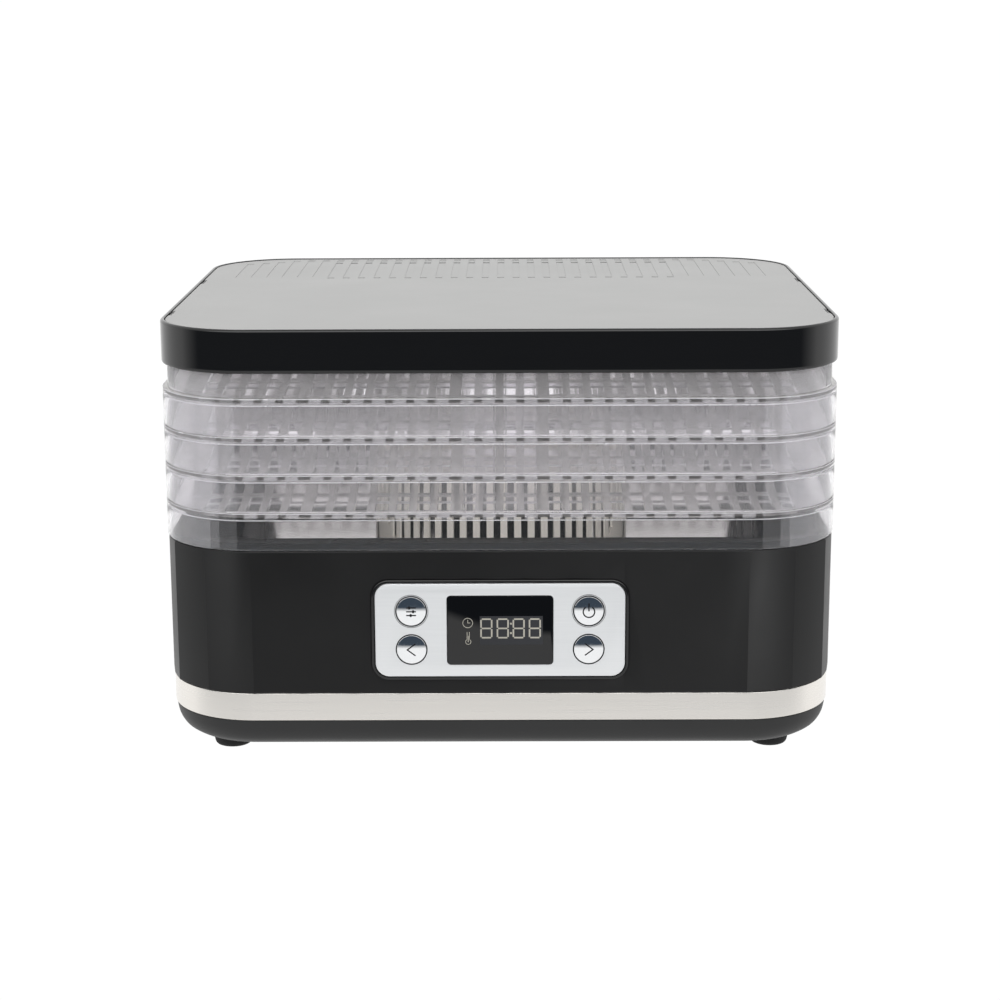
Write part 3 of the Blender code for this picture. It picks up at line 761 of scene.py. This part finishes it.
def make_display(front):
    """Four unlit seven-segment digits, a clock mark and a thermometer mark behind the window."""
    back = front + 0.1 * MM
    shape = bmesh.new()
    half, level = 5.2 * MM / 2, 9.4 * MM / 2
    gap, stroke, middle_z = 0.35 * MM, 0.75 * MM, PANEL_MIDDLE + 1.0 * MM
    for digit_x in (-6.7, 1.3, 9.1, 17.0):
        x = digit_x * MM
        for z in (-level, 0, level):
            add_stroke(shape, [(x - half + gap, middle_z + z), (x + half - gap, middle_z + z)],
                       stroke, front, back)
        for side in (-half, half):
            for low, high in ((-level, 0), (0, level)):
                add_stroke(shape, [(x + side, middle_z + low + gap),
                                   (x + side, middle_z + high - gap)], stroke, front, back)
    for z in (-2.4 * MM, 2.4 * MM):
        dot = (5.3 * MM, middle_z + z)
        add_stroke(shape, [(dot[0] - 0.45 * MM, dot[1]), (dot[0] + 0.45 * MM, dot[1])],
                   0.9 * MM, front, back)
    make_piece("display_segments", shape, LOOKS["segment"], "base")

    shape = bmesh.new()
    line = 0.28 * MM
    clock = (-15.8 * MM, PANEL_MIDDLE + 3.8 * MM)
    add_stroke(shape, arc(clock, 2.4 * MM, 0, 360, 40), line, front, back)
    add_stroke(shape, [(clock[0], clock[1] + 1.6 * MM), clock, (clock[0] + 1.2 * MM, clock[1])],
               line, front, back)
    bulb = (-15.6 * MM, PANEL_MIDDLE - 5.8 * MM)
    add_stroke(shape, arc(bulb, 1.3 * MM, 115, 425, 24), line, front, back)
    for side in (-0.55 * MM, 0.55 * MM):
        add_stroke(shape, [(bulb[0] + side, bulb[1] + 1.2 * MM),
                           (bulb[0] + side, bulb[1] + 5 * MM)], line, front, back)
    add_stroke(shape, [(bulb[0], bulb[1] - 0.2 * MM), (bulb[0], bulb[1] + 3 * MM)], line * 1.3,
               front, back)
    make_piece("display_marks", shape, LOOKS["segment"], "base")


def make_panel():
    bezel_low, bezel_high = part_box("panel_bezel")
    shape = bmesh.new()
    width, height = bezel_high[0] - bezel_low[0], bezel_high[2] - bezel_low[2]
    inner_width = FASCIA_HIGH[0] - FASCIA_LOW[0] + 0.5 * MM
    inner_height = FASCIA_HIGH[2] - FASCIA_LOW[2] + 0.5 * MM
    front, back = -bezel_low[1], -bezel_high[1]

    def outer(amount):
        return rounded_outline(width - 2 * amount, height - 2 * amount, 8.7 * MM - amount, 14)

    def inner(amount):
        return rounded_outline(inner_width + 2 * amount, inner_height + 2 * amount,
                               7.0 * MM + amount, 14)

    loft(shape, [(outer(0), back), (outer(0), front - 0.6 * MM),
                 (outer(0.2 * MM), front - 0.2 * MM), (outer(0.6 * MM), front),
                 (inner(0.45 * MM), front), (inner(0.1 * MM), front - 0.4 * MM),
                 (inner(0), front - 1.0 * MM), (inner(0), back)], closed=True)
    facing_front(shape)
    make_piece("bezel_ring", shape, LOOKS["gloss"], "base", ["panel_bezel"],
               (0, 0, PANEL_MIDDLE))

    outline = rounded_outline(FASCIA_HIGH[0] - FASCIA_LOW[0], FASCIA_HIGH[2] - FASCIA_LOW[2],
                              6.8 * MM, 14)
    fascia = front_plate("silver_fascia", outline, FASCIA_HIGH[1], FASCIA_LOW[1], 0.3 * MM,
                         LOOKS["fascia"], ["fascia_plate"])
    window_low, window_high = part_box("display_window")
    cutter = bmesh.new()
    window_width = window_high[0] - window_low[0]
    window_height = window_high[2] - window_low[2]
    hole = rounded_outline(window_width + 0.3 * MM, window_height + 0.3 * MM, 2.1 * MM, 8)
    loft(cutter, [(hole, 0), (hole, 30 * MM)])
    facing_front(cutter)
    bmesh.ops.translate(cutter, verts=cutter.verts, vec=(0, FRONT + 15 * MM, PANEL_MIDDLE))
    apply_cut(fascia, cutter)
    for name in button_icons():
        low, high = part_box(name)
        cutter = bmesh.new()
        radius = (high[0] - low[0]) / 2 + 0.28 * MM
        loft(cutter, turned_levels([(radius, 0), (radius, 30 * MM)], 72))
        facing_front(cutter)
        middle = ((low[0] + high[0]) / 2, FRONT + 15 * MM, (low[2] + high[2]) / 2)
        bmesh.ops.translate(cutter, verts=cutter.verts, vec=middle)
        apply_cut(fascia, cutter)

    outline = rounded_outline(window_width, window_height, 2 * MM, 8)
    front_plate("black_window", outline, window_high[1], window_low[1], 0.2 * MM, LOOKS["glass"],
                ["display_window"])
    shape = bmesh.new()
    box(shape, (-9.9 * MM, window_low[1] - 0.03 * MM, PANEL_MIDDLE - 7.2 * MM),
        (20.9 * MM, window_low[1] + 0.05 * MM, PANEL_MIDDLE + 7.2 * MM))
    make_piece("led_backing", shape, LOOKS["led"], "base")
    make_display(window_low[1] - 0.06 * MM)
    for name, icon in button_icons().items():
        make_button(name, icon)
        low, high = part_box(name)
        radius = (high[0] - low[0]) / 2
        middle = ((low[0] + high[0]) / 2, (low[2] + high[2]) / 2)
        make_ring(f"{name}_ring", middle, radius + 0.05 * MM, 0.55 * MM, FASCIA_LOW[1])
        if name in ("set_button", "power_button"):
            make_ring(f"{name}_outer_ring", middle, radius + 0.95 * MM, 0.18 * MM, FASCIA_LOW[1])


# ---- the carried-over CAD nodes -------------------------------------------------------------

def dress_cad_nodes():
    looks = {
        "reflector_plate": "steel", "heating_element": "zinc", "heater_support_left": "ceramic",
        "heater_support_right": "ceramic", "motor_bracket": "steel", "fan_motor": "zinc",
        "motor_shaft": "steel", "fan_impeller": "black", "power_board": "board",
        "transformer": "zinc", "relay": "black", "thermal_cutoff": "ceramic",
        "temperature_sensor": "steel", "control_board": "board", "display_module": "black",
        "cord_gland": "rubber",
    }
    for row in ("front", "rear"):
        for column in ("left", "right"):
            looks[f"case_screw_{row}_{column}"] = "zinc"
    for button in ("set", "down", "power", "up"):
        looks[f"{button}_switch"] = "zinc"
    for name, look in looks.items():
        node = NODES[name]
        node.data.materials.clear()
        node.data.materials.append(LOOKS[look])
        bevel = node.modifiers.new("bevel", "BEVEL")
        bevel.width = 0.25 * MM
        bevel.segments = 2
        bevel.limit_method = "ANGLE"
        bevel.angle_limit = math.radians(40)


# ---- studio ---------------------------------------------------------------------------------

def ramp_between(tree, value, start, end, low, high):
    spread = tree.nodes.new("ShaderNodeMapRange")
    spread.inputs["From Min"].default_value = start
    spread.inputs["From Max"].default_value = end
    spread.inputs["To Min"].default_value = low
    spread.inputs["To Max"].default_value = high
    tree.links.new(value, spread.inputs["Value"])
    return spread.outputs["Result"]


def combine(tree, operation, first, second):
    node = tree.nodes.new("ShaderNodeMath")
    node.operation = operation
    tree.links.new(first, node.inputs[0])
    tree.links.new(second, node.inputs[1])
    return node.outputs["Value"]


def make_world():
    """A white studio with a dark wall in front, between low and high; plain white where seen."""
    world = bpy.data.worlds.new("studio")
    bpy.context.scene.world = world
    world.use_nodes = True
    tree = world.node_tree
    background = tree.nodes["Background"]
    coordinates = tree.nodes.new("ShaderNodeTexCoord")
    parts = tree.nodes.new("ShaderNodeSeparateXYZ")
    tree.links.new(coordinates.outputs["Generated"], parts.inputs["Vector"])
    x, y, z = (parts.outputs[axis] for axis in "XYZ")
    behind = ramp_between(tree, y, -0.38, 0.05, 0.0, 1.0)
    below = ramp_between(tree, z, -0.215, -0.27, 0.0, 1.0)
    aside = ramp_between(tree, combine(tree, "MULTIPLY", x, x), 0.0, 0.09, 1.0, 0.95)
    below = combine(tree, "MULTIPLY", below, aside)
    above = ramp_between(tree, z, 0.12, 0.45, 0.0, 0.95)
    white = combine(tree, "MAXIMUM", combine(tree, "MAXIMUM", behind, below), above)
    seen_directly = tree.nodes.new("ShaderNodeLightPath").outputs["Is Camera Ray"]
    white = combine(tree, "MAXIMUM", white, seen_directly)
    key_side = ramp_between(tree, y, -0.35, -0.55, 0.0, 2.2)
    key_top = ramp_between(tree, z, 0.25, 0.40, 0.0, 1.0)
    key = combine(tree, "MULTIPLY", key_side, key_top)
    mix = tree.nodes.new("ShaderNodeMix")
    mix.data_type = "RGBA"
    colours = [socket for socket in mix.inputs if socket.type == "RGBA"]
    colours[0].default_value = (0.046, 0.062, 0.084, 1)
    colours[1].default_value = (1.02, 1.02, 1.02, 1)
    tree.links.new(white, mix.inputs[0])
    result = next(socket for socket in mix.outputs if socket.type == "RGBA")
    tree.links.new(result, background.inputs["Color"])
    one = tree.nodes.new("ShaderNodeValue").outputs["Value"]
    one.default_value = 1.0
    tree.links.new(combine(tree, "ADD", one, key), background.inputs["Strength"])


def area_light(name, place, target, size, power):
    data = bpy.data.lights.new(name, "AREA")
    data.shape = "RECTANGLE"
    data.size, data.size_y = size
    data.energy = power
    lamp = bpy.data.objects.new(name, data)
    bpy.context.scene.collection.objects.link(lamp)
    lamp.location = place
    lamp.rotation_euler = (Vector(target) - Vector(place)).to_track_quat("-Z", "Y").to_euler()
    return lamp


def make_camera():
    """A long lens in front, slightly above the lid."""
    data = bpy.data.cameras.new("camera")
    data.sensor_width = 36
    data.lens = 80.0
    data.clip_end = 60
    camera = bpy.data.objects.new("camera", data)
    bpy.context.scene.collection.objects.link(camera)
    yaw, pitch, roll = math.radians(-0.295), math.radians(13.055), math.radians(-0.235)
    level = Matrix.Rotation(-yaw, 4, "Z") @ Matrix.Rotation(math.radians(90) - pitch, 4, "X")
    place = Matrix.Translation((5.6 * MM, -1187.7 * MM, TOP + 159.2 * MM))
    camera.matrix_world = place @ level @ Matrix.Rotation(roll, 4, "Z")
    bpy.context.scene.camera = camera


def only_for(lamp, lit, blocking=()):
    """Let the lamp light only the named objects, shaded only by those that block it."""
    linking = lamp.light_linking
    linking.receiver_collection = bpy.data.collections.new(f"{lamp.name}_lit")
    for name in lit:
        linking.receiver_collection.objects.link(bpy.data.objects[name])
    linking.blocker_collection = bpy.data.collections.new(f"{lamp.name}_blocking")
    for name in blocking:
        linking.blocker_collection.objects.link(bpy.data.objects[name])


def make_lights():
    """A key light for what is inside the clear trays, and a soft glow on each end of the shell."""
    trays = [f"tray_{number}_clear" for number in range(1, 5)]
    inner = area_light("inner_key", (0, -1.3, 0.62), (0, -0.1, 0.13), (1.4, 0.4), 9)
    inner.visible_transmission = False
    inner.visible_glossy = False
    only_for(inner, trays + ["slotted_drum", NODES["reflector_plate"].name],
             ["lid_rim", "lid_plate", "fluted_shell", "deck_surface", "slotted_drum"])
    for name, x, power in (("left_glow", -1.05, 3.0), ("right_glow", 0.72, 5.0)):
        glow = area_light(name, (x, -1.3, -0.25), (math.copysign(0.1, x), -0.14, 0.07),
                          (0.45, 0.6), power)
        only_for(glow, ["fluted_shell"])


make_camera()
make_world()
make_shell()
make_band_and_cover()
make_feet()
make_deck()
make_trays()
make_lid()
make_panel()
dress_cad_nodes()
make_lights()

LIGHT_BOUNCES = 24
settings = bpy.context.scene
settings.view_settings.view_transform = "Standard"
settings.cycles.max_bounces = LIGHT_BOUNCES
settings.cycles.transmission_bounces = LIGHT_BOUNCES
settings.cycles.transparent_max_bounces = LIGHT_BOUNCES

bpy.context.view_layer.update()
